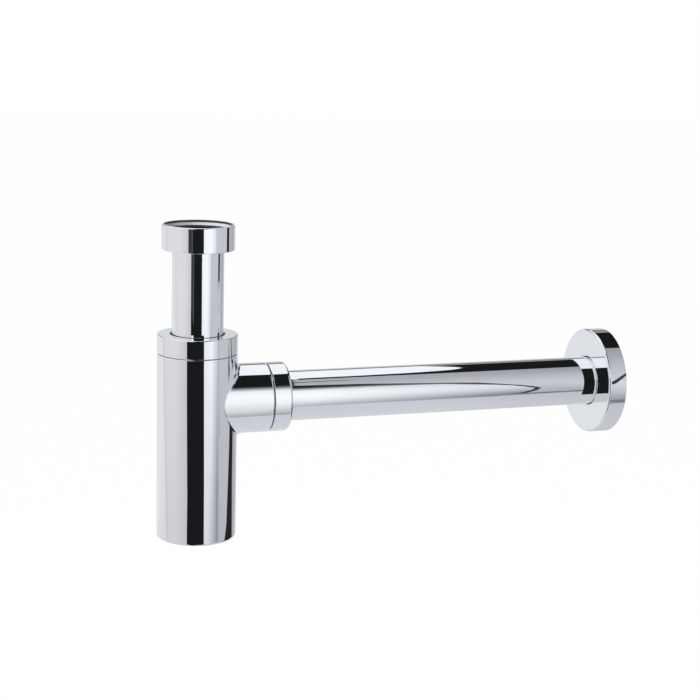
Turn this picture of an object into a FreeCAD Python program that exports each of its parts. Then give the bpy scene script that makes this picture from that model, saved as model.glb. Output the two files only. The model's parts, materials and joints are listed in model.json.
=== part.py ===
import math
import os

import FreeCAD
import Part

# Basin bottle trap of chromed brass, in millimetres.
# The origin lies on the bottle's axis in the inlet's sealing plane, where the basin's tail meets the gasket.
# +Z points up along the bottle, and +X runs along the outlet to the wall.

# Tubes, and the clearances, all radial, of what they pass through.
# What surrounds a tube is sized from it outwards, as widths and walls.
tube_od = 32.0
tube_wall = 1.0
seal_clearance = 0.05
ring_clearance = 0.3
guide_clearance = 0.4

# Union nut, whose thread takes a G 1 1/4 tail, with the gasket and the tube's collar that it clamps
union_height = 15.5
union_web = 2.0
union_wall = 1.445
union_thread_height = 1.479
union_mouth_depth = 1.4
union_mouth_chamfer = 1.6
union_relief = 0.1
union_edge_round = 0.5
swivel_clearance = 0.1
collar_thickness = 1.8
collar_width = 3.2
collar_clearance = 0.276
gasket_thickness = 2.7
gasket_clearance = 0.226
gasket_bore_clearance = 0.3

# Bottle: lengths are measured down from the sealing plane, then from the seam under the cap nut
cap_drop = 59.0
seam_to_outlet = 30.5
bottle_height = 118.0
bottle_wall = 2.0
bottle_floor = 2.0
bottle_bottom_round = 1.5
dip_above_floor = 20.0

# Threaded neck of the bottle, and the cap nut with the ring and seal that it presses down
cap_height = 12.0
cap_web = 2.5
cap_wall = 2.2
cap_top_round = 0.6
cap_hole_chamfer = 0.8
neck_wall = 1.8
neck_chamfer = 0.8
neck_ledge = 2.5
neck_to_wall_step = 1.0
thread_gap = 0.3
slip_ring_thickness = 1.2
inlet_seal_height = 5.5
inlet_seal_width = 4.6
seal_proud = 0.6
seal_side_clearance = 0.05

# Fine open seams beside both nuts
seam_gap = 0.3
seam_round = 0.35

# Branch of the bottle, and the outlet nut with its ring and seal
branch_wall = 2.0
branch_length = 19.5
branch_blend = 2.5
branch_end_round = 1.2
spigot_wall = 1.4
spigot_chamfer = 0.6
outlet_nut_length = 12.0
outlet_nut_web = 2.2
outlet_nut_wall = 2.2
outlet_nut_end_round = 1.8
outlet_seal_length = 5.3
outlet_seal_width = 2.0

# Outlet tube and wall rosette
wall_distance = 283.0
tube_short_of_wall = 0.5
tube_insertion = 20.5
rosette_od = 70.0
rosette_depth = 12.5
rosette_sheet = 1.0
rosette_edge_round = 1.5
rosette_lip_length = 3.0
rosette_lip_round = 2.0
rosette_clearance = 0.2
grip_ring_length = 3.0
grip_ring_width = 2.5

# Radii
tube_r = tube_od / 2
tube_bore_r = tube_r - tube_wall
guide_r = tube_r + guide_clearance
sealed_r = tube_r + seal_clearance
collar_r = tube_r + collar_width
thread_r = collar_r + collar_clearance
union_relief_r = thread_r + union_thread_height + union_relief
union_r = union_relief_r + union_wall
inlet_seal_r = sealed_r + inlet_seal_width
neck_pocket_r = inlet_seal_r + seal_side_clearance
neck_r = neck_pocket_r + neck_wall
cap_bore_r = neck_r + thread_gap
bottle_r = cap_bore_r + cap_wall
cavity_r = bottle_r - bottle_wall
outlet_seal_r = sealed_r + outlet_seal_width
spigot_pocket_r = outlet_seal_r + seal_side_clearance
spigot_r = spigot_pocket_r + spigot_wall
outlet_nut_bore_r = spigot_r + thread_gap
branch_r = outlet_nut_bore_r + outlet_nut_wall
rosette_r = rosette_od / 2

# Heights along the bottle's axis
gasket_bottom = -gasket_thickness
collar_bottom = gasket_bottom - collar_thickness
union_bottom = collar_bottom - union_web
union_top = union_bottom + union_height
mouth_bottom = union_top - union_mouth_depth
thread_top = mouth_bottom - union_mouth_chamfer
cap_top = -cap_drop
cap_web_bottom = cap_top - cap_web
seam = cap_top - cap_height
inlet_ring_bottom = cap_web_bottom - slip_ring_thickness
neck_top = inlet_ring_bottom - seal_proud
neck_ledge_top = inlet_ring_bottom - inlet_seal_height
neck_ledge_bottom = neck_ledge_top - neck_ledge
outlet_height = seam - seam_to_outlet
bottle_bottom = seam - bottle_height
floor_top = bottle_bottom + bottle_floor
dip_end = floor_top + dip_above_floor

# Distances along the outlet's axis
branch_reach = bottle_r + branch_length
outlet_nut_end = branch_reach + outlet_nut_length
outlet_web_back = outlet_nut_end - outlet_nut_web
outlet_ring_back = outlet_web_back - slip_ring_thickness
spigot_end = outlet_ring_back - seal_proud
spigot_ledge = outlet_ring_back - outlet_seal_length
branch_shoulder_back = branch_reach - branch_wall
tube_inner_end = outlet_nut_end - tube_insertion
tube_outer_end = wall_distance - tube_short_of_wall
rosette_face = wall_distance - rosette_depth
rosette_back = rosette_face + rosette_sheet
rosette_lip_end = rosette_face + rosette_lip_length

ORIGIN = FreeCAD.Vector(0, 0, 0)
UP = FreeCAD.Vector(0, 0, 1)
ACROSS = FreeCAD.Vector(0, 1, 0)


def outline(corners):
    """A closed outline: each corner is (radius, distance along the axis) or has a rounding radius as well."""
    places = [FreeCAD.Vector(corner[0], 0, corner[1]) for corner in corners]
    stretches = []
    for index, corner in enumerate(corners):
        here = places[index]
        rounding = corner[2] if len(corner) > 2 else 0
        if rounding <= 0:
            stretches.append((here, None, here))
            continue
        back = (places[index - 1] - here).normalize()
        onward = (places[(index + 1) % len(places)] - here).normalize()
        half_angle = back.getAngle(onward) / 2
        setback = rounding / math.tan(half_angle)
        inward = (back + onward).normalize()
        middle = here + inward * (rounding / math.sin(half_angle) - rounding)
        stretches.append((here + back * setback, middle, here + onward * setback))
    edges = []
    for index, (start, middle, end) in enumerate(stretches):
        if middle is not None:
            edges.append(Part.Arc(start, middle, end).toShape())
        following = stretches[(index + 1) % len(stretches)][0]
        edges.append(Part.LineSegment(end, following).toShape())
    return Part.Wire(edges)


def turned(corners):
    """A solid of revolution about the bottle's axis, from corners of radius and height."""
    return Part.Face(outline(corners)).revolve(ORIGIN, UP, 360)


def turned_outlet(corners):
    """A solid of revolution about the outlet's axis, from corners of radius and distance from the bottle's axis."""
    solid = turned(corners)
    solid.rotate(ORIGIN, ACROSS, 90)
    solid.translate(UP * outlet_height)
    return solid


def rod(radius, start, end):
    """Corners of a plain round rod on the axis."""
    return [(0, start), (radius, start), (radius, end), (0, end)]


def washer(bore, radius, start, end):
    """Corners of a plain flat ring."""
    return [(bore, start), (radius, start), (radius, end), (bore, end)]


def union_nut():
    hole_r = tube_r + swivel_clearance
    return turned([
        (hole_r, union_bottom),
        (union_r, union_bottom, union_edge_round),
        (union_r, union_top, union_edge_round),
        (union_relief_r, union_top),
        (union_relief_r, mouth_bottom),
        (thread_r, thread_top),
        (thread_r, 0),
        (union_relief_r, 0),
        (union_relief_r, collar_bottom),
        (hole_r, collar_bottom),
    ])


def union_gasket():
    return turned(washer(tube_bore_r + gasket_bore_clearance, thread_r - gasket_clearance, gasket_bottom, 0))


def inlet_tube():
    return turned([
        (tube_bore_r, dip_end),
        (tube_r, dip_end),
        (tube_r, collar_bottom),
        (collar_r, collar_bottom),
        (collar_r, gasket_bottom),
        (tube_bore_r, gasket_bottom),
    ])


def cap_nut():
    return turned([
        (guide_r, cap_web_bottom),
        (guide_r, cap_top - cap_hole_chamfer),
        (guide_r + cap_hole_chamfer, cap_top),
        (bottle_r, cap_top, cap_top_round),
        (bottle_r, seam + seam_gap, seam_round),
        (cap_bore_r, seam + seam_gap),
        (cap_bore_r, cap_web_bottom),
    ])


def inlet_slip_ring():
    return turned(washer(tube_r + ring_clearance, cap_bore_r - ring_clearance, inlet_ring_bottom, cap_web_bottom))


def inlet_seal():
    return turned(washer(sealed_r, inlet_seal_r, neck_ledge_top, inlet_ring_bottom))


def bottle_outside():
    """The bottle and its branch as one full form, still without their hollows."""
    bottle = turned([
        (0, bottle_bottom),
        (bottle_r, bottle_bottom, bottle_bottom_round),
        (bottle_r, seam, seam_round),
        (neck_r, seam),
        (neck_r, neck_top - neck_chamfer),
        (neck_r - neck_chamfer, neck_top),
        (0, neck_top),
    ])
    branch = turned_outlet([
        (0, 0),
        (branch_r, 0),
        (branch_r, branch_reach, branch_end_round),
        (spigot_r, branch_reach),
        (spigot_r, spigot_end - spigot_chamfer),
        (spigot_r - spigot_chamfer, spigot_end),
        (0, spigot_end),
    ])
    joined = bottle.fuse(branch).removeSplitter()
    return joined.makeFillet(branch_blend, junction_edges(joined))


def junction_edges(form):
    """The edges where the branch's wall runs into the bottle's wall: they lie on both cylinders."""
    found = []
    for edge in form.Edges:
        points = edge.discretize(7)
        on_bottle = all(abs(math.hypot(p.x, p.y) - bottle_r) < 0.001 for p in points)
        on_branch = all(abs(math.hypot(p.y, p.z - outlet_height) - branch_r) < 0.001 for p in points)
        if on_bottle and on_branch:
            found.append(edge)
    return found


def bottle_hollow():
    """The space inside the bottle, from its floor through the neck's guide hole to the seal's pocket."""
    inner_round = max(bottle_bottom_round - bottle_wall, 0)
    roof = seam - neck_to_wall_step
    return turned([
        (0, floor_top),
        (cavity_r, floor_top, inner_round),
        (cavity_r, roof - (cavity_r - neck_pocket_r)),
        (neck_pocket_r, roof),
        (neck_pocket_r, neck_ledge_bottom),
        (guide_r, neck_ledge_bottom),
        (guide_r, neck_ledge_top),
        (neck_pocket_r, neck_ledge_top),
        (neck_pocket_r, neck_top),
        (0, neck_top),
    ])


def branch_hollow():
    """The space inside the branch: the tube's hole in the bottle's wall, the chamber, the guide and the pocket."""
    chamber = turned_outlet(rod(branch_r - branch_wall, 0, branch_shoulder_back))
    bottle_core = Part.makeCylinder(bottle_r, bottle_height, FreeCAD.Vector(0, 0, bottle_bottom))
    passage = turned_outlet(rod(tube_bore_r, 0, branch_shoulder_back))
    guide = turned_outlet(rod(guide_r, bottle_r, spigot_end))
    pocket = turned_outlet(rod(spigot_pocket_r, spigot_ledge, spigot_end))
    return chamber.cut(bottle_core).multiFuse([passage, guide, pocket])


def bottle_body():
    return bottle_outside().cut(bottle_hollow()).cut(branch_hollow()).removeSplitter()


def outlet_nut():
    return turned_outlet([
        (outlet_nut_bore_r, branch_reach + seam_gap),
        (branch_r, branch_reach + seam_gap, seam_round),
        (branch_r, outlet_nut_end, outlet_nut_end_round),
        (guide_r, outlet_nut_end),
        (guide_r, outlet_web_back),
        (outlet_nut_bore_r, outlet_web_back),
    ])


def outlet_slip_ring():
    outer_r = outlet_nut_bore_r - ring_clearance
    return turned_outlet(washer(tube_r + ring_clearance, outer_r, outlet_ring_back, outlet_web_back))


def outlet_seal():
    return turned_outlet(washer(sealed_r, outlet_seal_r, spigot_ledge, outlet_ring_back))


def outlet_tube():
    return turned_outlet(washer(tube_bore_r, tube_r, tube_inner_end, tube_outer_end))


def wall_rosette():
    """A pressed cup of sheet, whose hole has its edge drawn inwards as a short rounded lip."""
    hole_r = tube_r + rosette_clearance
    lip_r = hole_r + rosette_sheet
    inside_r = rosette_r - rosette_sheet
    inner_edge_round = max(rosette_edge_round - rosette_sheet, 0)
    inner_lip_round = max(rosette_lip_round - rosette_sheet, 0)
    return turned_outlet([
        (hole_r, rosette_face, rosette_lip_round),
        (rosette_r, rosette_face, rosette_edge_round),
        (rosette_r, wall_distance),
        (inside_r, wall_distance),
        (inside_r, rosette_back, inner_edge_round),
        (lip_r, rosette_back, inner_lip_round),
        (lip_r, rosette_lip_end),
        (hole_r, rosette_lip_end),
    ])


def rosette_grip_ring():
    outer_r = sealed_r + grip_ring_width
    return turned_outlet(washer(sealed_r, outer_r, rosette_lip_end, rosette_lip_end + grip_ring_length))


PIECES = [
    union_nut,
    union_gasket,
    inlet_tube,
    cap_nut,
    inlet_slip_ring,
    inlet_seal,
    bottle_body,
    outlet_nut,
    outlet_slip_ring,
    outlet_seal,
    outlet_tube,
    wall_rosette,
    rosette_grip_ring,
]

os.makedirs("parts", exist_ok=True)
for piece in PIECES:
    piece().exportStep(f"parts/{piece.__name__}.step")
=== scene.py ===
import json
import math

import bpy
from mathutils import Matrix, Vector


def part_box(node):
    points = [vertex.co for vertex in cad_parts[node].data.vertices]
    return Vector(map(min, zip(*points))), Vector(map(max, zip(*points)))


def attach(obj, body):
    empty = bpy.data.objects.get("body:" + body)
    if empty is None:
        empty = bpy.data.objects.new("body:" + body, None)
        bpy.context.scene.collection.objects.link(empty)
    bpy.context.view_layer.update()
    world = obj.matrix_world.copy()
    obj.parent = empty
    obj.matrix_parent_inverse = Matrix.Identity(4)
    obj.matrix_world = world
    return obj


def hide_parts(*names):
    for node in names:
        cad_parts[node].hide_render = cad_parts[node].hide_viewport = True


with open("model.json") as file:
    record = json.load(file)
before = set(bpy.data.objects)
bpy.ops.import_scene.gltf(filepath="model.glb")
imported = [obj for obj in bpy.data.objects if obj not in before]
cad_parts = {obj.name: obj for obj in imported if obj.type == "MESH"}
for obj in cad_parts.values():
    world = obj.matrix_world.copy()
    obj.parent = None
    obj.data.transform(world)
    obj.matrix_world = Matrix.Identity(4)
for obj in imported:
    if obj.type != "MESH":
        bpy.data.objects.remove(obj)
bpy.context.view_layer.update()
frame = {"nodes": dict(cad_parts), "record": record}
nodes = frame["nodes"]
mounts = {mount["name"]: mount for mount in frame["record"]["mounts"]}

MM = 0.001

# Places of the pieces, read from the frame
union_low, union_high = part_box("union_nut")
inlet_low, inlet_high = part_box("inlet_tube")
cap_low, cap_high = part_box("cap_nut")
bottle_low, bottle_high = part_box("bottle_body")
outlet_nut_low, outlet_nut_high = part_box("outlet_nut")
outlet_low, outlet_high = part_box("outlet_tube")
rosette_low, rosette_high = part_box("wall_rosette")
outlet_height = (outlet_low.z + outlet_high.z) / 2
tube_radius = (outlet_high.z - outlet_low.z) / 2

UP = Vector((0, 0, 1))
ALONG = Vector((1, 0, 0))
BOTTLE_AXIS = Vector((0, 0, 0))
OUTLET_AXIS = Vector((0, 0, outlet_height))


# Shapes

def new_piece(name, points, faces, sharp_angle=30):
    """A mesh object with smooth faces, whose edges stay sharp above the angle, in degrees."""
    mesh = bpy.data.meshes.new(name)
    mesh.from_pydata(points, [], faces)
    mesh.shade_smooth()
    mesh.set_sharp_from_angle(angle=math.radians(sharp_angle))
    mesh.update()
    piece = bpy.data.objects.new(name, mesh)
    bpy.context.scene.collection.objects.link(piece)
    return piece


def round_edge(centre, radius, start, end, steps=6):
    """Points (radius, height) on the arc of a rounded edge, with angles in degrees."""
    arc = []
    for step in range(steps + 1):
        angle = math.radians(start + (end - start) * step / steps)
        arc.append((centre[0] + radius * math.cos(angle), centre[1] + radius * math.sin(angle)))
    return arc


# Union nut with its cut thread
UNION_EDGE_ROUND = 0.5 * MM
UNION_EDGE_HOLD = 0.04 * MM
UNION_MOUTH_DEPTH = 1.4 * MM
UNION_MOUTH_CHAMFER = 1.6 * MM
UNION_WEB = 2.0 * MM
UNION_WALL = 1.445 * MM
UNION_HOLE_CLEARANCE = 0.1 * MM
UNION_SEGMENTS = 256
UNION_SHARP_ANGLE = 28
THREAD_PITCH = 2.309 * MM
THREAD_HEIGHT = 1.479 * MM
THREAD_FLAT = 0.12
THREAD_RELIEF = 0.1 * MM
THREAD_ROWS_PER_TURN = 28
THREAD_RUN_OUT = 0.8 * MM


def thread_depth(turns):
    """How deep a thread is cut, 0 at its crest and 1 at its root, after a number of turns from a
    crest."""
    slope = abs((turns % 1) * 2 - 1)
    return min(max((1 - slope - THREAD_FLAT) / (1 - 2 * THREAD_FLAT), 0), 1)


def union_nut_with_thread():
    """The union nut as it is in the frame, with the thread cut into its bore as a real helix."""
    outer = union_high.x
    crest = mounts["inlet_thread"]["dims"]["r_mm"] * MM
    relief = crest + THREAD_HEIGHT + THREAD_RELIEF
    hole = tube_radius + UNION_HOLE_CLEARANCE
    bottom, top = union_low.z, union_high.z
    mouth_bottom = top - UNION_MOUTH_DEPTH
    thread_top = mouth_bottom - UNION_MOUTH_CHAMFER
    soft = UNION_EDGE_ROUND
    held = soft + UNION_EDGE_HOLD
    outline = [(hole, bottom + UNION_WEB), (hole, bottom), (outer - held, bottom)]
    outline += round_edge((outer - soft, bottom + soft), soft, -90, 0)
    outline += [(outer, bottom + held), (outer, top - held)]
    outline += round_edge((outer - soft, top - soft), soft, 0, 90)
    outline += [(outer - held, top), (relief, top), (relief, mouth_bottom)]
    rows = math.ceil(thread_top / THREAD_PITCH * THREAD_ROWS_PER_TURN)
    first_cut = len(outline)
    outline += [(crest, thread_top * (1 - row / rows)) for row in range(rows + 1)]
    last_cut = len(outline) - 1
    outline += [(relief, 0), (relief, bottom + UNION_WEB)]
    points = []
    for index, (radius, height) in enumerate(outline):
        for segment in range(UNION_SEGMENTS):
            share = segment / UNION_SEGMENTS
            cut = 0
            if first_cut <= index <= last_cut:
                run_out = min(height / THREAD_RUN_OUT, (thread_top - height) / THREAD_RUN_OUT, 1)
                cut = THREAD_HEIGHT * run_out * thread_depth(height / THREAD_PITCH - share)
            angle = math.tau * share
            reach = radius + cut
            points.append((reach * math.cos(angle), reach * math.sin(angle), height))
    faces = []
    for index in range(len(outline)):
        following = (index + 1) % len(outline)
        for segment in range(UNION_SEGMENTS):
            beside = (segment + 1) % UNION_SEGMENTS
            faces.append((
                index * UNION_SEGMENTS + segment,
                index * UNION_SEGMENTS + beside,
                following * UNION_SEGMENTS + beside,
                following * UNION_SEGMENTS + segment,
            ))
    return new_piece("union_nut_threaded", points, faces, UNION_SHARP_ANGLE)


union_piece = union_nut_with_thread()
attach(union_piece, "union_nut")
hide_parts("union_nut")


# Outside threads of the neck and the spigot, which show when their nuts are unscrewed
RIDGE_PITCH = 2.0 * MM
RIDGE_HEIGHT = 0.22 * MM
RIDGE_SUNK = 0.05 * MM
RIDGE_FOOT = 0.55 * MM
RIDGE_CREST = 0.18 * MM
RIDGE_SEGMENTS = 96
RIDGE_TAPER = RIDGE_SEGMENTS / 4
RIDGE_SHARP_ANGLE = 50


def thread_ridge(name, radius, start, end):
    """A helical ridge round +Z on a shaft of that radius. It tapers out at both ends."""
    turns = (end - start - 2 * RIDGE_FOOT) / RIDGE_PITCH
    steps = math.ceil(turns * RIDGE_SEGMENTS)
    points = []
    for step in range(steps + 1):
        angle = math.tau * turns * step / steps
        height = start + RIDGE_FOOT + RIDGE_PITCH * turns * step / steps
        taper = min(step, steps - step, RIDGE_TAPER) / RIDGE_TAPER
        crest = radius + RIDGE_HEIGHT * taper
        foot = radius - RIDGE_SUNK
        section = (
            (foot, -RIDGE_FOOT), (crest, -RIDGE_CREST), (crest, RIDGE_CREST), (foot, RIDGE_FOOT),
        )
        for reach, offset in section:
            points.append((reach * math.cos(angle), reach * math.sin(angle), height + offset))
    faces = [(0, 1, 2, 3)]
    for step in range(steps):
        here, there = 4 * step, 4 * step + 4
        for corner in range(4):
            beside = (corner + 1) % 4
            faces.append((here + corner, there + corner, there + beside, here + beside))
    faces.append(tuple(4 * steps + corner for corner in (3, 2, 1, 0)))
    return new_piece(name, points, faces, RIDGE_SHARP_ANGLE)


NECK_RADIUS = 22.5 * MM
NECK_CHAMFER = 0.8 * MM
SPIGOT_RADIUS = 19.5 * MM
SPIGOT_CHAMFER = 0.6 * MM

neck_thread = thread_ridge("neck_thread", NECK_RADIUS, cap_low.z, bottle_high.z - NECK_CHAMFER)
spigot_thread = thread_ridge(
    "spigot_thread", SPIGOT_RADIUS, outlet_nut_low.x, bottle_high.x - SPIGOT_CHAMFER,
)
onto_outlet = Matrix.Translation(OUTLET_AXIS) @ Matrix.Rotation(math.radians(90), 4, "Y")
spigot_thread.data.transform(onto_outlet)
for ridge in (neck_thread, spigot_thread):
    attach(ridge, "bottle")


# Materials

def set_inputs(node, inputs):
    """Gives their values to the inputs that are named, with _ for a space."""
    for name, value in inputs.items():
        node.inputs[name.replace("_", " ")].default_value = value


def add(tree, kind, **inputs):
    """A new node, with values given to the inputs that are named."""
    node = tree.nodes.new(kind)
    set_inputs(node, inputs)
    return node


def new_group(name, inputs, outputs):
    """An empty shader group with named sockets, and its input and output nodes."""
    group = bpy.data.node_groups.new(name, "ShaderNodeTree")
    for label, kind, value in inputs:
        socket = group.interface.new_socket(label, in_out="INPUT", socket_type=kind)
        if value is not None:
            socket.default_value = value
    for label, kind in outputs:
        group.interface.new_socket(label, in_out="OUTPUT", socket_type=kind)
    return group, group.nodes.new("NodeGroupInput"), group.nodes.new("NodeGroupOutput")


# Operations of a maths node that give a value, where the others give a vector
VALUE_RESULTS = ("LENGTH", "DOT_PRODUCT", "LESS_THAN", "GREATER_THAN", "MULTIPLY")


def bore_mask_group():
    """1 inside a bore and 0 outside it, from the distance to the bore's axis and the place along
    it."""
    group, given, result = new_group(
        "Bore mask",
        [
            ("Place", "NodeSocketVector", None),
            ("Axis Point", "NodeSocketVector", None),
            ("Axis Direction", "NodeSocketVector", (0, 0, 1)),
            ("Bore Radius", "NodeSocketFloat", 0.015),
            ("Bore Start", "NodeSocketFloat", -1.0),
            ("Bore End", "NodeSocketFloat", 1.0),
        ],
        [("Mask", "NodeSocketFloat")],
    )
    link = group.links.new

    def operation(kind, name, first, second=None):
        """A maths node's output, for one or two outputs that it works on."""
        node = add(group, kind)
        node.operation = name
        link(first, node.inputs[0])
        if second is not None:
            link(second, node.inputs[1])
        return node.outputs["Value" if name in VALUE_RESULTS else "Vector"]

    vector, value = "ShaderNodeVectorMath", "ShaderNodeMath"
    direction = given.outputs["Axis Direction"]
    offset = operation(vector, "SUBTRACT", given.outputs["Place"], given.outputs["Axis Point"])
    across = operation(vector, "CROSS_PRODUCT", offset, direction)
    distance = operation(vector, "LENGTH", across)
    along = operation(vector, "DOT_PRODUCT", offset, direction)
    within = operation(value, "LESS_THAN", distance, given.outputs["Bore Radius"])
    after = operation(value, "GREATER_THAN", along, given.outputs["Bore Start"])
    before = operation(value, "LESS_THAN", along, given.outputs["Bore End"])
    between = operation(value, "MULTIPLY", after, before)
    inside = operation(value, "MULTIPLY", within, between)
    link(inside, result.inputs["Mask"])
    return group


def handling_haze_group():
    """The faint, cloudy haze of a handled surface, with finer wipe marks in it."""
    group, given, result = new_group(
        "Handling haze",
        [
            ("Place", "NodeSocketVector", None),
            ("Cloud Scale", "NodeSocketFloat", 40.0),
            ("Wipe Scale", "NodeSocketFloat", 300.0),
        ],
        [("Haze", "NodeSocketFloat"), ("Waviness", "NodeSocketFloat")],
    )
    link = group.links.new
    cloud = add(group, "ShaderNodeTexNoise", Detail=3.0, Roughness=0.55)
    wipe = add(group, "ShaderNodeTexNoise", Detail=2.0, Roughness=0.6)
    soften = add(group, "ShaderNodeMapRange", From_Min=0.42, From_Max=0.72)
    soften.interpolation_type = "SMOOTHSTEP"
    joined = add(group, "ShaderNodeMath")
    joined.operation = "MULTIPLY"
    link(given.outputs["Place"], cloud.inputs["Vector"])
    link(given.outputs["Cloud Scale"], cloud.inputs["Scale"])
    link(given.outputs["Place"], wipe.inputs["Vector"])
    link(given.outputs["Wipe Scale"], wipe.inputs["Scale"])
    link(cloud.outputs["Fac"], soften.inputs["Value"])
    link(soften.outputs["Result"], joined.inputs[0])
    link(wipe.outputs["Fac"], joined.inputs[1])
    link(joined.outputs["Value"], result.inputs["Haze"])
    link(cloud.outputs["Fac"], result.inputs["Waviness"])
    return group


def moulded_grain_group():
    """The fine grain and pale specks of a moulded surface, for rubber and plastic."""
    group, given, result = new_group(
        "Moulded grain",
        [("Place", "NodeSocketVector", None), ("Grain Scale", "NodeSocketFloat", 900.0)],
        [("Grain", "NodeSocketFloat"), ("Specks", "NodeSocketFloat")],
    )
    link = group.links.new
    grain = add(group, "ShaderNodeTexNoise", Detail=4.0, Roughness=0.65)
    specks = add(group, "ShaderNodeTexVoronoi")
    thin = add(group, "ShaderNodeMapRange", From_Min=0.05, From_Max=0.28, To_Min=1.0, To_Max=0.0)
    link(given.outputs["Place"], grain.inputs["Vector"])
    link(given.outputs["Grain Scale"], grain.inputs["Scale"])
    link(given.outputs["Place"], specks.inputs["Vector"])
    link(given.outputs["Grain Scale"], specks.inputs["Scale"])
    link(specks.outputs["Distance"], thin.inputs["Value"])
    link(grain.outputs["Fac"], result.inputs["Grain"])
    link(thin.outputs["Result"], result.inputs["Specks"])
    return group


BORE_MASK = bore_mask_group()
HANDLING_HAZE = handling_haze_group()
MOULDED_GRAIN = moulded_grain_group()

CHROME_COLOUR = (0.905, 0.92, 0.945, 1)
CHROME_HAZE_COLOUR = (0.87, 0.885, 0.91, 1)
CHROME_ROUGHNESS = 0.018
CHROME_HAZE_ROUGHNESS = 0.06
CHROME_CLOUD_SCALE = 35.0
CHROME_WIPE_SCALE = 420.0
CHROME_WAVE_STRENGTH = 0.012
CHROME_WAVE_HEIGHT = 0.2 * MM
BRASS_COLOUR = (0.55, 0.43, 0.25, 1)
# Nickel darkened as painted shade, for the deep insides of the union nut's thread and of the
# bottle
NICKEL_PAINTED_SHADE_COLOUR = (0.22, 0.22, 0.225, 1)
DULL_NICKEL_COLOUR = (0.42, 0.41, 0.40, 1)

# Finishes of bores and threads, each with its colour and roughness. The dark ones inside the union
# nut's thread, inside the bottle and round the cap nut's hole are painted shade.
LIP_CHROME = (CHROME_COLOUR, 0.03)
LEAD_IN_NICKEL = ((0.86, 0.86, 0.87, 1), 0.42)
# The union nut's thread is dark with painted shade, below its pale lead-in
UNION_THREAD_PAINTED_SHADE = (NICKEL_PAINTED_SHADE_COLOUR, 0.3)
BOTTLE_INSIDE_PAINTED_SHADE = (NICKEL_PAINTED_SHADE_COLOUR, 0.25)
NECK_NICKEL = (DULL_NICKEL_COLOUR, 0.14)
SPIGOT_NICKEL = (DULL_NICKEL_COLOUR, 0.25)
TUBE_BRASS = (BRASS_COLOUR, 0.35)
BARE_BRASS = (BRASS_COLOUR, 0.3)
# Near black round the cap nut's hole: painted shade in the crevice where the tube goes in
CAP_HOLE_PAINTED_SHADE = ((0.09, 0.09, 0.095, 1), 0.4)

MOULDED_ROUGHNESS_SPREAD = 0.1
MOULDED_GRAIN_STRENGTH = 0.3
MOULDED_GRAIN_HEIGHT = 0.08 * MM


def new_material(name):
    """A material, its node tree, its plain Principled shader, and the object's own coordinates."""
    material = bpy.data.materials.new(name)
    material.use_nodes = True
    tree = material.node_tree
    shader = tree.nodes["Principled BSDF"]
    place = tree.nodes.new("ShaderNodeTexCoord").outputs["Object"]
    return material, tree, shader, place


def place_group(tree, group, place, **inputs):
    """A shader group placed in a material, fed with the object's coordinates."""
    node = tree.nodes.new("ShaderNodeGroup")
    node.node_tree = group
    tree.links.new(place, node.inputs["Place"])
    set_inputs(node, inputs)
    return node


# A mix node's two inputs and its output, by the kind of data
MIX_SOCKETS = {"FLOAT": (2, 3, 0), "RGBA": (6, 7, 2)}


def mix(tree, data_type, share, first, second):
    """What lies between two values or outputs, at a share that changes over the surface."""
    node = tree.nodes.new("ShaderNodeMix")
    node.data_type = data_type
    tree.links.new(share, node.inputs["Factor"])
    first_socket, second_socket, result = MIX_SOCKETS[data_type]
    for socket, value in ((first_socket, first), (second_socket, second)):
        if isinstance(value, bpy.types.NodeSocket):
            tree.links.new(value, node.inputs[socket])
        else:
            node.inputs[socket].default_value = value
    return node.outputs[result]


def mix_colours(tree, share, first, second):
    """The colour between two colours or colour outputs, at a share that changes over the
    surface."""
    return mix(tree, "RGBA", share, first, second)


def spread(tree, share, low, high):
    """The value between two values or outputs, at a share that changes over the surface."""
    return mix(tree, "FLOAT", share, low, high)


def bump(tree, height, strength, distance):
    """The normal of a surface raised by a height that changes over it."""
    node = add(tree, "ShaderNodeBump", Strength=strength, Distance=distance)
    tree.links.new(height, node.inputs["Height"])
    return node.outputs["Normal"]


def chrome(name, axis, *bores):
    """Polished chrome plate on brass. Each bore is (radius, start, end, finish): inside it the
    metal has that finish's colour and roughness, and some of these finishes are painted shade."""
    material, tree, shader, place = new_material(name)
    link = tree.links.new
    haze = place_group(
        tree, HANDLING_HAZE, place,
        Cloud_Scale=CHROME_CLOUD_SCALE, Wipe_Scale=CHROME_WIPE_SCALE,
    )
    colour = mix_colours(tree, haze.outputs["Haze"], CHROME_COLOUR, CHROME_HAZE_COLOUR)
    roughness = spread(tree, haze.outputs["Haze"], CHROME_ROUGHNESS, CHROME_HAZE_ROUGHNESS)
    for bore_radius, bore_start, bore_end, (bore_colour, bore_roughness) in bores:
        bore = place_group(
            tree, BORE_MASK, place,
            Axis_Point=axis[0], Axis_Direction=axis[1],
            Bore_Radius=bore_radius, Bore_Start=bore_start, Bore_End=bore_end,
        )
        colour = mix_colours(tree, bore.outputs["Mask"], colour, bore_colour)
        roughness = spread(tree, bore.outputs["Mask"], roughness, bore_roughness)
    waves = bump(tree, haze.outputs["Waviness"], CHROME_WAVE_STRENGTH, CHROME_WAVE_HEIGHT)
    link(colour, shader.inputs["Base Color"])
    link(roughness, shader.inputs["Roughness"])
    link(waves, shader.inputs["Normal"])
    shader.inputs["Metallic"].default_value = 1.0
    return material


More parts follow.
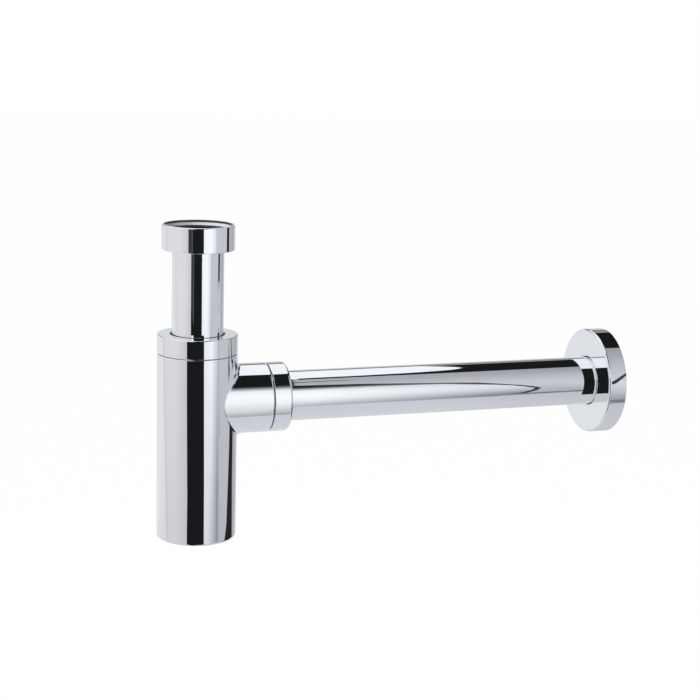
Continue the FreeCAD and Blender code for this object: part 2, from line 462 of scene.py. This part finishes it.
def moulded(name, colour, speck_colour, roughness, grain_scale):
    """Moulded rubber or plastic with a fine grain."""
    material, tree, shader, place = new_material(name)
    link = tree.links.new
    grain = place_group(tree, MOULDED_GRAIN, place, Grain_Scale=grain_scale)
    height = grain.outputs["Grain"]
    smooth, rough = roughness - MOULDED_ROUGHNESS_SPREAD, roughness + MOULDED_ROUGHNESS_SPREAD
    speckled = mix_colours(tree, grain.outputs["Specks"], colour, speck_colour)
    link(speckled, shader.inputs["Base Color"])
    link(spread(tree, height, smooth, rough), shader.inputs["Roughness"])
    link(bump(tree, height, MOULDED_GRAIN_STRENGTH, MOULDED_GRAIN_HEIGHT), shader.inputs["Normal"])
    return material


def dress(piece, material):
    """Gives a piece its one material."""
    piece.data.materials.clear()
    piece.data.materials.append(material)


# Bores, each from its start to its end along the bottle's or the outlet's axis
BOTTLE = (BOTTLE_AXIS, UP)
OUTLET = (OUTLET_AXIS, ALONG)
BORE_MARGIN = 0.3 * MM
EDGE_MARGIN = 0.02 * MM
# Width of the painted shade ring round the cap nut's hole
CAP_SHADE_RING_WIDTH = 1.22 * MM
OUTLET_NUT_BORE = 20.0 * MM
OUTLET_NUT_WEB = 2.1 * MM
ROSETTE_LIP = 2.2 * MM
ROSETTE_LIP_EDGE = 0.9 * MM
ROSETTE_SHEET = 0.8 * MM
union_bore = union_high.x - UNION_WALL + BORE_MARGIN
union_start = union_low.z + BORE_MARGIN
union_mouth = union_high.z - EDGE_MARGIN
lead_in_top = union_high.z - UNION_MOUTH_DEPTH
lead_in_bottom = lead_in_top - UNION_MOUTH_CHAMFER
tube_bore = tube_radius - BORE_MARGIN
inlet_start, inlet_end = inlet_low.z + EDGE_MARGIN, inlet_high.z - EDGE_MARGIN
outlet_start, outlet_end = outlet_low.x + EDGE_MARGIN, outlet_high.x - EDGE_MARGIN
cap_shade_ring_radius = tube_radius + CAP_SHADE_RING_WIDTH
cap_face = cap_high.z - EDGE_MARGIN
neck_bore = NECK_RADIUS + RIDGE_HEIGHT
neck_top = bottle_high.z + EDGE_MARGIN
bottle_floor = bottle_low.z + BORE_MARGIN
spigot_bore = SPIGOT_RADIUS + RIDGE_HEIGHT
outlet_nut_start = outlet_nut_low.x + EDGE_MARGIN
outlet_nut_web = outlet_nut_high.x - OUTLET_NUT_WEB
rosette_bore = rosette_high.y - BORE_MARGIN
rosette_back = rosette_low.x + ROSETTE_SHEET
rosette_end = rosette_high.x - EDGE_MARGIN
rosette_hole = tube_radius + ROSETTE_LIP_EDGE
rosette_lip = rosette_low.x + ROSETTE_LIP

CHROMED = {
    "union_nut_threaded": (
        BOTTLE,
        # The dark thread inside the union nut is painted shade
        (union_bore, union_start, union_mouth, UNION_THREAD_PAINTED_SHADE),
        (union_bore, lead_in_bottom, lead_in_top, LEAD_IN_NICKEL),
    ),
    "inlet_tube": (BOTTLE, (tube_bore, inlet_start, inlet_end, TUBE_BRASS)),
    # The dark ring round the cap nut's hole is painted shade
    "cap_nut": (BOTTLE, (cap_shade_ring_radius, cap_low.z, cap_face, CAP_HOLE_PAINTED_SHADE)),
    # The bottle's inside is dark with the same painted shade
    "bottle_body": (BOTTLE, (neck_bore, bottle_floor, neck_top, BOTTLE_INSIDE_PAINTED_SHADE)),
    "neck_thread": (BOTTLE, (neck_bore, bottle_low.z, neck_top, NECK_NICKEL)),
    "spigot_thread": (OUTLET, (spigot_bore, 0, outlet_nut_high.x, SPIGOT_NICKEL)),
    "outlet_nut": (OUTLET, (OUTLET_NUT_BORE, outlet_nut_start, outlet_nut_web, BARE_BRASS)),
    "outlet_tube": (OUTLET, (tube_bore, outlet_start, outlet_end, TUBE_BRASS)),
    "wall_rosette": (
        OUTLET,
        (rosette_bore, rosette_back, rosette_end, BARE_BRASS),
        (rosette_hole, rosette_back, rosette_lip, LIP_CHROME),
    ),
}
chromed_pieces = dict(nodes)
chromed_pieces.update({piece.name: piece for piece in (union_piece, neck_thread, spigot_thread)})
for name, finish in CHROMED.items():
    dress(chromed_pieces[name], chrome(name + "_chrome", *finish))

# Rubber and plastic: colour, colour of the specks, roughness, scale of the grain, and its pieces
MOULDED = {
    "gasket_rubber": ((0.62, 0.62, 0.60, 1), (0.72, 0.72, 0.70, 1), 0.6, 700.0, ["union_gasket"]),
    "seal_rubber": (
        (0.022, 0.022, 0.024, 1), (0.05, 0.05, 0.052, 1), 0.5, 1100.0,
        ["inlet_seal", "outlet_seal", "rosette_grip_ring"],
    ),
    "slip_ring_plastic": (
        (0.78, 0.78, 0.75, 1), (0.84, 0.84, 0.81, 1), 0.4, 500.0,
        ["inlet_slip_ring", "outlet_slip_ring"],
    ),
}
for name, (*look, made_of_it) in MOULDED.items():
    material = moulded(name, *look)
    for piece in made_of_it:
        dress(nodes[piece], material)


# Stage: a pale floor well below the trap, and the soft boxes, boards and flags in the chrome
FLOOR_HEIGHT = -0.75
FLOOR_SIZE = 30.0
FLOOR_GLOW = 0.92
FLOOR_GRAIN_SCALE = 60.0
FLOOR_GRAIN_COLOUR = (0.97, 0.97, 0.97, 1)
FLOOR_ROUGHNESS = 0.9
FLOOR_SHINE = 0.1
WHITE = (1, 1, 1, 1)
ROOM_LIGHT = 0.9
KEY_SIZE = 0.9
KEY_POWER = 12.0
KEY_PLACE = Vector((0.6, -0.9, 1.1))
KEY_AIM = Vector((0.1, 0, -0.1))


def seen_white(tree):
    """1 for rays from the camera and those mirrored or let through by the object, 0 for the light
    itself."""
    path = tree.nodes.new("ShaderNodeLightPath")
    either = add(tree, "ShaderNodeMath")
    either.operation = "MAXIMUM"
    any_of = add(tree, "ShaderNodeMath")
    any_of.operation = "MAXIMUM"
    tree.links.new(path.outputs["Is Camera Ray"], either.inputs[0])
    tree.links.new(path.outputs["Is Glossy Ray"], either.inputs[1])
    tree.links.new(either.outputs["Value"], any_of.inputs[0])
    tree.links.new(path.outputs["Is Transmission Ray"], any_of.inputs[1])
    return any_of.outputs["Value"]


def light_world():
    """A white room, a little dimmer as a light than as a background."""
    world = bpy.data.worlds.new("studio")
    bpy.context.scene.world = world
    world.use_nodes = True
    tree = world.node_tree
    tree.nodes.clear()
    room = add(tree, "ShaderNodeBackground", Color=WHITE, Strength=ROOM_LIGHT)
    white = add(tree, "ShaderNodeBackground", Color=WHITE, Strength=1.0)
    choose = tree.nodes.new("ShaderNodeMixShader")
    out = tree.nodes.new("ShaderNodeOutputWorld")
    tree.links.new(seen_white(tree), choose.inputs["Fac"])
    tree.links.new(room.outputs["Background"], choose.inputs[1])
    tree.links.new(white.outputs["Background"], choose.inputs[2])
    tree.links.new(choose.outputs["Shader"], out.inputs["Surface"])


def key_lamp():
    """One soft lamp over the camera's right, for the shade on what isn't metal. Boards stand for
    it in the chrome."""
    lamp = bpy.data.lights.new("key_lamp", "AREA")
    lamp.size = KEY_SIZE
    lamp.energy = KEY_POWER
    key = bpy.data.objects.new("key_lamp", lamp)
    bpy.context.scene.collection.objects.link(key)
    key.location = KEY_PLACE
    key.rotation_euler = (KEY_AIM - KEY_PLACE).to_track_quat("-Z", "Y").to_euler()
    key.visible_glossy = False


def pale_floor():
    """A wide white floor. Part of its white glows, so that it joins the background, and the rest
    takes the shadow."""
    half = FLOOR_SIZE / 2
    square = ((-half, -half), (half, -half), (half, half), (-half, half))
    floor = new_piece("floor", [(x, y, FLOOR_HEIGHT) for x, y in square], [(0, 1, 2, 3)])
    material, tree, shader, place = new_material("floor_white")
    grain = place_group(tree, MOULDED_GRAIN, place, Grain_Scale=FLOOR_GRAIN_SCALE)
    paper = mix_colours(tree, grain.outputs["Grain"], FLOOR_GRAIN_COLOUR, WHITE)
    tree.links.new(paper, shader.inputs["Base Color"])
    set_inputs(shader, {"Roughness": FLOOR_ROUGHNESS, "Specular IOR Level": FLOOR_SHINE})
    glow = add(tree, "ShaderNodeEmission", Color=WHITE, Strength=1.0)
    share = add(tree, "ShaderNodeMath")
    share.operation = "MULTIPLY"
    share.inputs[1].default_value = FLOOR_GLOW
    choose = tree.nodes.new("ShaderNodeMixShader")
    tree.links.new(seen_white(tree), share.inputs[0])
    tree.links.new(share.outputs["Value"], choose.inputs["Fac"])
    tree.links.new(shader.outputs["BSDF"], choose.inputs[1])
    tree.links.new(glow.outputs["Emission"], choose.inputs[2])
    tree.links.new(choose.outputs["Shader"], tree.nodes["Material Output"].inputs["Surface"])
    dress(floor, material)


# Where along the outlet a board's tint starts to change to its right one, and where it has changed
TINT_START = 0.27
TINT_END = 0.41


def board_material(name, tint, right_tint=None):
    """A board's own light, as strong at each point as the board's glow there. Its tint may change
    to another one towards the right, along the outlet."""
    material = bpy.data.materials.new(name)
    material.use_nodes = True
    tree = material.node_tree
    tree.nodes.clear()
    strength = tree.nodes.new("ShaderNodeAttribute")
    strength.attribute_name = "glow"
    glow = add(tree, "ShaderNodeEmission", Color=(*tint, 1))
    out = tree.nodes.new("ShaderNodeOutputMaterial")
    tree.links.new(strength.outputs["Fac"], glow.inputs["Strength"])
    tree.links.new(glow.outputs["Emission"], out.inputs["Surface"])
    if right_tint:
        place = tree.nodes.new("ShaderNodeTexCoord").outputs["Object"]
        split = tree.nodes.new("ShaderNodeSeparateXYZ")
        share = add(tree, "ShaderNodeMapRange", From_Min=TINT_START, From_Max=TINT_END)
        tree.links.new(place, split.inputs["Vector"])
        tree.links.new(split.outputs["X"], share.inputs["Value"])
        blend = mix_colours(tree, share.outputs["Result"], (*tint, 1), (*right_tint, 1))
        tree.links.new(blend, glow.inputs["Color"])
    return material


WHITE_BOARD = board_material("white_board", (0.98, 1.0, 1.025))
SOFT_BOX_BOARD = board_material("soft_box_white", (0.98, 1.0, 1.025), (1.0, 1.0, 1.11))
GREY_BOARD = board_material("grey_board", (1.0, 0.985, 1.02))
COOL_BOARD = board_material("cool_board", (1.0, 1.0, 1.075))

# Glow of black cloth, and of the dark edges and seams between boards
BLACK = 0.011
FLAG_DARK = 0.02
SEAM_DARK = 0.03
GAP_SIDE_DARK = 0.045
GAP_LINE_GREY = 0.14
BACK_STRIP_GREY = 0.25
LEFT_SEAM_GREY = 0.52

# How far boards are from the outlet's axis, so that each stands before those behind it
SOFT_BOX_NEAR = 0.40
SOFT_BOX_FAR = 0.70
SOFT_BOX_EDGE = 0.409
TOP_EDGE = 0.71
TOP_FLAG = 0.72
GAP_LINE = 0.725
GAP_SIDE = 0.73
CAMERA_GAP = 0.74
SEAMS = 0.75
WALL_LINE = 0.755
RIGHT_WALL = 0.76

# Where the soft box's dark edge starts along the outlet
EDGE_LEFT = 0.16

# Places of the upright boards, and heights of the table and of the flags on it
RIGHT_FLAG = 0.95
FAR_RIGHT_WALL = 1.0
LEFT_SEAM = -0.715
LEFT_WALL = -0.72
BACKDROP = 1.2
TABLE = -0.60
TABLE_FLAG = -0.595


def board(name, rows, material):
    """A board that shows in the chrome, and neither in the picture nor in the light. Each row is a
    list of points with their glow, as many in every row."""
    points = [point for row in rows for point, glow in row]
    strengths = [glow for row in rows for point, glow in row]
    width = len(rows[0])
    faces = []
    for row in range(len(rows) - 1):
        for stop in range(width - 1):
            here = row * width + stop
            faces.append((here, here + 1, here + width + 1, here + width))
    piece = new_piece(name, points, faces)
    piece.data.attributes.new("glow", "FLOAT", "POINT").data.foreach_set("value", strengths)
    dress(piece, material)
    piece.visible_camera = False
    piece.visible_diffuse = False
    piece.visible_shadow = False


def bent_board(name, near, rows, material=WHITE_BOARD, steps=6):
    """A board bent round the outlet's axis, that far from it. Each row has the angle from the
    camera's side over the top to the back, in degrees, then stops of (place along the outlet,
    glow). A stop may have its own distance as a third value."""
    bent = []
    for row, following in zip(rows, rows[1:] + rows[-1:]):
        for step in range(steps if following is not row else 1):
            share = step / steps
            angle = math.radians(row[0] + (following[0] - row[0]) * share)
            stops = []
            for here, there in zip(row[1:], following[1:]):
                ends = list(zip((*here, near), (*there, near)))[:3]
                place, glow, reach = (first + (second - first) * share for first, second in ends)
                point = (place, -reach * math.cos(angle), outlet_height + reach * math.sin(angle))
                stops.append((point, glow))
            bent.append(stops)
    board(name, bent, material)


def side_board(name, place, rows, material=WHITE_BOARD):
    """An upright board across the outlet. Each row has its height, then stops of (place in depth,
    glow)."""
    points = [[((place, depth, row[0]), glow) for depth, glow in row[1:]] for row in rows]
    board(name, points, material)


def back_board(name, depth, rows, material=WHITE_BOARD):
    """An upright board along the outlet. Each row has its height, then stops of (place along it,
    glow)."""
    points = [[((place, depth, row[0]), glow) for place, glow in row[1:]] for row in rows]
    board(name, points, material)


def low_board(name, height, rows, material=WHITE_BOARD):
    """A level board. Each row has its place in depth, then stops of (place along the outlet,
    glow)."""
    points = [[((place, row[0], height), glow) for place, glow in row[1:]] for row in rows]
    board(name, points, material)


def even(glow, rows):
    """A board's rows with one glow all over. Each is given by its angle, height or depth, then its
    first and last place."""
    return [(row, (first, glow), (last, glow)) for row, first, last in rows]


def soft_boxes():
    """The white shapes in the chrome: the soft box beside the camera, whose left end stands
    further off than the rest, with its foot and dark edge, and the one over the trap."""
    far = SOFT_BOX_FAR
    bent_board("front_soft_box", SOFT_BOX_NEAR, [
        (-41, (0.120, 0.57, far), (0.14, 0.55), (0.195, 0.48), (0.285, 0.38), (0.3725, 0.25)),
        (-37, (0.110, 0.66, far), (0.14, 0.64), (0.195, 0.53), (0.285, 0.42), (0.382, 0.25)),
        (-30, (0.105, 0.75, far), (0.14, 0.74), (0.195, 0.62), (0.285, 0.49), (0.395, 0.26)),
        (-20, (0.095, 0.81, far), (0.14, 0.83), (0.195, 0.83), (0.285, 0.63), (0.4067, 0.44)),
        (-10, (0.062, 0.88, far), (0.14, 0.94), (0.195, 0.97), (0.285, 0.77), (0.410, 0.60)),
        (0, (0.045, 0.96, far), (0.14, 1.02), (0.195, 1.04), (0.285, 0.89), (0.3986, 0.73)),
        (8, (0.030, 0.99, far), (0.14, 1.05), (0.195, 1.07), (0.285, 0.92), (0.3855, 0.78)),
        (15, (0.10, 1.05), (0.14, 1.05), (0.195, 1.07), (0.285, 0.92), (0.3684, 0.79)),
        (30, (0.10, 0.97), (0.14, 0.97), (0.195, 0.96), (0.260, 0.82), (0.317, 0.74)),
        (36, (0.10, 0.57), (0.14, 0.57), (0.195, 0.56), (0.236, 0.52), (0.264, 0.50)),
        (42, (0.10, 0.16), (0.14, 0.16), (0.187, 0.16), (0.195, 0.15), (0.207, 0.14)),
        (46, (0.10, 0.03), (0.12, 0.03), (0.146, 0.03), (0.163, 0.03), (0.179, 0.03)),
    ], SOFT_BOX_BOARD)
    bent_board("soft_box_foot", SOFT_BOX_NEAR, [
        (-50, (0.10, 0.42), (0.134, 0.41), (0.172, 0.36)),
        (-46, (0.10, 0.50), (0.134, 0.49), (0.174, 0.42)),
        (-41, (0.10, 0.57), (0.134, 0.56), (0.176, 0.49)),
    ])
    edge_rows = (
        (-32, 0.4066, BLACK),
        (-22, 0.4163, 0.02),
        (-10, 0.4212, 0.04),
        (0, 0.4106, 0.04),
        (7, 0.400, 0.03),
        (19, 0.3757, 0.05),
        (29, 0.3546, 0.12),
        (35, 0.3262, 0.15),
        (40, 0.2978, 0.12),
        (45, 0.2686, 0.05),
        (50, 0.2402, BLACK),
        (53, 0.2109, BLACK),
        (56, 0.1817, BLACK),
    )
    bent_board("soft_box_edge", SOFT_BOX_EDGE, [
        (angle, (EDGE_LEFT, glow), (right, glow)) for angle, right, glow in edge_rows
    ])
    bent_board("top_soft_box", SOFT_BOX_FAR, even(1.0, [
        (94, -0.40, 0.340),
        (96, -0.40, 0.400),
        (100, -0.40, 0.437),
        (104, -0.40, 0.456),
        (109, -0.40, 0.466),
        (114, -0.40, 0.469),
        (121, -0.40, 0.463),
        (131, -0.40, 0.447),
        (146, -0.40, 0.420),
    ]))


def flags():
    """The black shapes in the chrome, and the thin dark lines: the gap where the camera stands,
    the flags above, at the right and on the table, and the seams between the walls."""
    bent_board("camera_gap", CAMERA_GAP, even(BLACK, [
        (-45, -0.48, 0.278),
        (-25, -0.55, 0.278),
        (-17, -0.64, 0.278),
        (-10, -0.69, 0.278),
        (10, -0.75, 0.278),
        (20, -0.25, 0.278),
        (72, -0.25, 0.278),
    ]))
    bent_board("gap_top", CAMERA_GAP, even(BLACK, [(71, 0.15, 0.278), (90, 0.15, 0.278)]))
    bent_board("gap_side", GAP_SIDE, even(GAP_SIDE_DARK, [
        (-8.5, -0.68, -0.465),
        (12, -0.74, -0.465),
    ]))
    bent_board("gap_line", GAP_LINE, even(GAP_LINE_GREY, [
        (-8.5, -0.465, -0.435),
        (12, -0.465, -0.435),
    ]))
    bent_board("top_flag", TOP_FLAG, even(BLACK, [(85, 0.40, 1.0), (142, 0.40, 1.0)]))
    bent_board("top_edge", TOP_EDGE, even(BLACK, [(86, 0.275, 0.48), (112, 0.275, 0.48)]))
    bent_board("ceiling_seam", SEAMS, [
        (70, (0.275, 0.12), (0.36, 0.25)),
        (74, (0.275, 0.12), (0.34, 0.25)),
    ])
    bent_board("back_strip", TOP_FLAG, even(BACK_STRIP_GREY, [
        (144, -0.40, 1.0),
        (160, -0.40, 1.0),
    ]))
    bent_board("wall_foot", SEAMS, [
        (-39, (0.50, 0.16), (0.75, 0.24)),
        (-33, (0.50, 0.16), (0.75, 0.24)),
    ])
    bent_board("wall_seam", SEAMS, even(SEAM_DARK, [
        (2, 0.654, 0.664),
        (14, 0.668, 0.675),
        (24, 0.678, 0.683),
        (37, 0.688, 0.692),
    ]))
    bent_board("wall_line", WALL_LINE, [
        (10, (0.73, 0.3), (0.745, 0.3)),
        (-8, (0.772, 0.3), (0.787, 0.3)),
        (-18, (0.852, 0.25), (0.866, 0.25)),
        (-22, (0.890, 0.2), (0.904, 0.2)),
        (-26, (0.980, 0.2), (1.0, 0.2)),
    ])
    side_board("right_flag", RIGHT_FLAG, even(FLAG_DARK, [
        (0.30, -0.07, 0.13),
        (-0.14, -0.07, 0.13),
        (-0.20, -0.07, 0.10),
        (-0.24, -0.08, 0.01),
        (-0.29, -0.09, 0.0),
        (-0.33, 0.03, 0.33),
        (-0.38, 0.03, 0.35),
        (-0.447, -0.05, 0.35),
        (-0.485, -0.10, 0.385),
        (-0.55, -0.40, 0.44),
        (-0.60, -0.50, 0.46),
    ]))
    side_board("left_seam", LEFT_SEAM, even(LEFT_SEAM_GREY, [
        (0.60, 0.780, 0.825),
        (-0.15, 0.580, 0.625),
        (-0.42, 0.175, 0.212),
        (-0.60, 0.065, 0.100),
    ]), GREY_BOARD)
    low_board("table_flag_front", TABLE_FLAG, even(BLACK, [
        (-0.56, -0.46, 0.10),
        (-0.29, -0.24, 0.05),
    ]))
    low_board("table_flag_left", TABLE_FLAG, even(BLACK, [
        (-0.30, -0.24, -0.045),
        (-0.03, -0.05, -0.04),
    ]))
    low_board("table_flag_right", TABLE_FLAG, even(BLACK, [
        (-0.50, 0.90, 0.95),
        (-0.33, 0.62, 0.95),
        (0.29, 0.62, 0.95),
        (0.46, 0.90, 0.95),
    ]))


def walls():
    """The pale greys in the chrome: the studio's walls, its backdrop and its table."""
    bent_board("right_wall", RIGHT_WALL, [
        (-45, (0.27, 0.48), (0.62, 0.46), (0.68, 0.34), (1.0, 0.50)),
        (-33, (0.27, 0.48), (0.62, 0.46), (0.68, 0.34), (1.0, 0.50)),
        (-18, (0.27, 0.52), (0.62, 0.50), (0.68, 0.54), (1.0, 0.56)),
        (2, (0.27, 0.60), (0.62, 0.60), (0.68, 0.74), (1.0, 0.61)),
        (12, (0.27, 0.63), (0.62, 0.63), (0.68, 0.66), (1.0, 0.61)),
        (25, (0.27, 0.62), (0.62, 0.61), (0.68, 0.60), (1.0, 0.60)),
        (45, (0.27, 0.54), (0.62, 0.53), (0.68, 0.53), (1.0, 0.53)),
        (65, (0.275, 0.46), (0.62, 0.42), (0.68, 0.42), (1.0, 0.42)),
        (91, (0.275, 0.46), (0.62, 0.34), (0.68, 0.34), (1.0, 0.34)),
    ], COOL_BOARD)
    side_board("far_right_wall", FAR_RIGHT_WALL, [
        (0.50, (-0.76, 0.62), (0.0, 0.60), (0.5, 0.42), (1.0, 0.50)),
        (-0.15, (-0.76, 0.61), (0.0, 0.59), (0.5, 0.42), (1.0, 0.50)),
        (-0.60, (-0.76, 0.50), (0.0, 0.49), (0.5, 0.42), (1.0, 0.50)),
    ], COOL_BOARD)
    side_board("left_wall", LEFT_WALL, [
        (0.60, (-0.86, 0.63), (-0.2, 0.81), (0.5, 0.82), (0.80, 0.80)),
        (-0.15, (-0.86, 0.61), (-0.2, 0.78), (0.4, 0.78), (0.60, 0.72)),
        (-0.42, (-0.86, 0.59), (-0.2, 0.69), (0.0, 0.69), (0.19, 0.67)),
        (-0.60, (-0.86, 0.59), (-0.2, 0.67), (0.0, 0.67), (0.08, 0.67)),
    ], GREY_BOARD)
    back_board("backdrop", BACKDROP, [
        (-0.74, (-3.0, 0.82), (-0.2, 0.85), (0.6, 0.66), (3.0, 0.50)),
        (0.90, (-3.0, 0.72), (-0.2, 0.72), (0.6, 0.62), (3.0, 0.50)),
    ])
    low_board("table_left", TABLE, [
        (-0.90, (-3.0, 0.72), (-0.76, 0.66), (0.12, 0.66)),
        (0.20, (-3.0, 0.80), (-0.76, 0.70), (0.12, 0.66)),
        (1.19, (-3.0, 0.80), (-0.76, 0.80), (0.12, 0.78)),
    ], GREY_BOARD)
    low_board("table_right", TABLE, [
        (-0.56, (0.12, 0.65), (0.38, 0.645), (0.47, 0.60), (0.65, 0.565), (1.5, 0.55)),
        (-0.20, (0.12, 0.65), (0.38, 0.645), (0.47, 0.60), (0.65, 0.565), (1.5, 0.55)),
        (0.0, (0.12, 0.675), (0.38, 0.665), (0.47, 0.615), (0.65, 0.575), (1.5, 0.56)),
    ], COOL_BOARD)
    low_board("table_back", TABLE, [
        (0.0, (0.12, 0.675), (0.38, 0.665), (0.47, 0.615), (0.65, 0.575), (1.5, 0.56)),
        (0.30, (0.12, 0.71), (0.38, 0.69), (0.47, 0.635), (0.65, 0.59), (1.5, 0.57)),
        (0.60, (0.12, 0.72), (0.38, 0.70), (0.47, 0.65), (0.65, 0.60), (1.5, 0.58)),
        (1.19, (0.12, 0.77), (0.38, 0.72), (0.47, 0.68), (0.65, 0.64), (1.5, 0.55)),
    ])


light_world()
key_lamp()
pale_floor()
soft_boxes()
flags()
walls()

# Camera, set to the photograph's view
VIEW_AZIMUTH = math.radians(-19.3168)
VIEW_ELEVATION = math.radians(11.6109)
VIEW_ROLL = math.radians(1.6353)
VIEW_DISTANCE = 0.989454
VIEW_TARGET = Vector((0.1002573, 0.0, -0.0735906))
VIEW_LENS = 79.258
VIEW_SENSOR = 36.0


def place_camera():
    """A camera at its distance from the target, turned by its azimuth, elevation and roll."""
    back = Vector((
        math.sin(VIEW_AZIMUTH) * math.cos(VIEW_ELEVATION),
        -math.cos(VIEW_AZIMUTH) * math.cos(VIEW_ELEVATION),
        math.sin(VIEW_ELEVATION),
    ))
    level_right = UP.cross(back).normalized()
    level_up = back.cross(level_right)
    right = level_right * math.cos(VIEW_ROLL) + level_up * math.sin(VIEW_ROLL)
    upward = level_up * math.cos(VIEW_ROLL) - level_right * math.sin(VIEW_ROLL)
    camera = bpy.data.objects.new("camera", bpy.data.cameras.new("camera"))
    bpy.context.scene.collection.objects.link(camera)
    camera.data.lens = VIEW_LENS
    camera.data.sensor_width = VIEW_SENSOR
    turn = Matrix((right, upward, back)).transposed().to_4x4()
    camera.matrix_world = Matrix.Translation(VIEW_TARGET + back * VIEW_DISTANCE) @ turn
    bpy.context.scene.camera = camera


place_camera()
bpy.context.scene.view_settings.view_transform = "Standard"
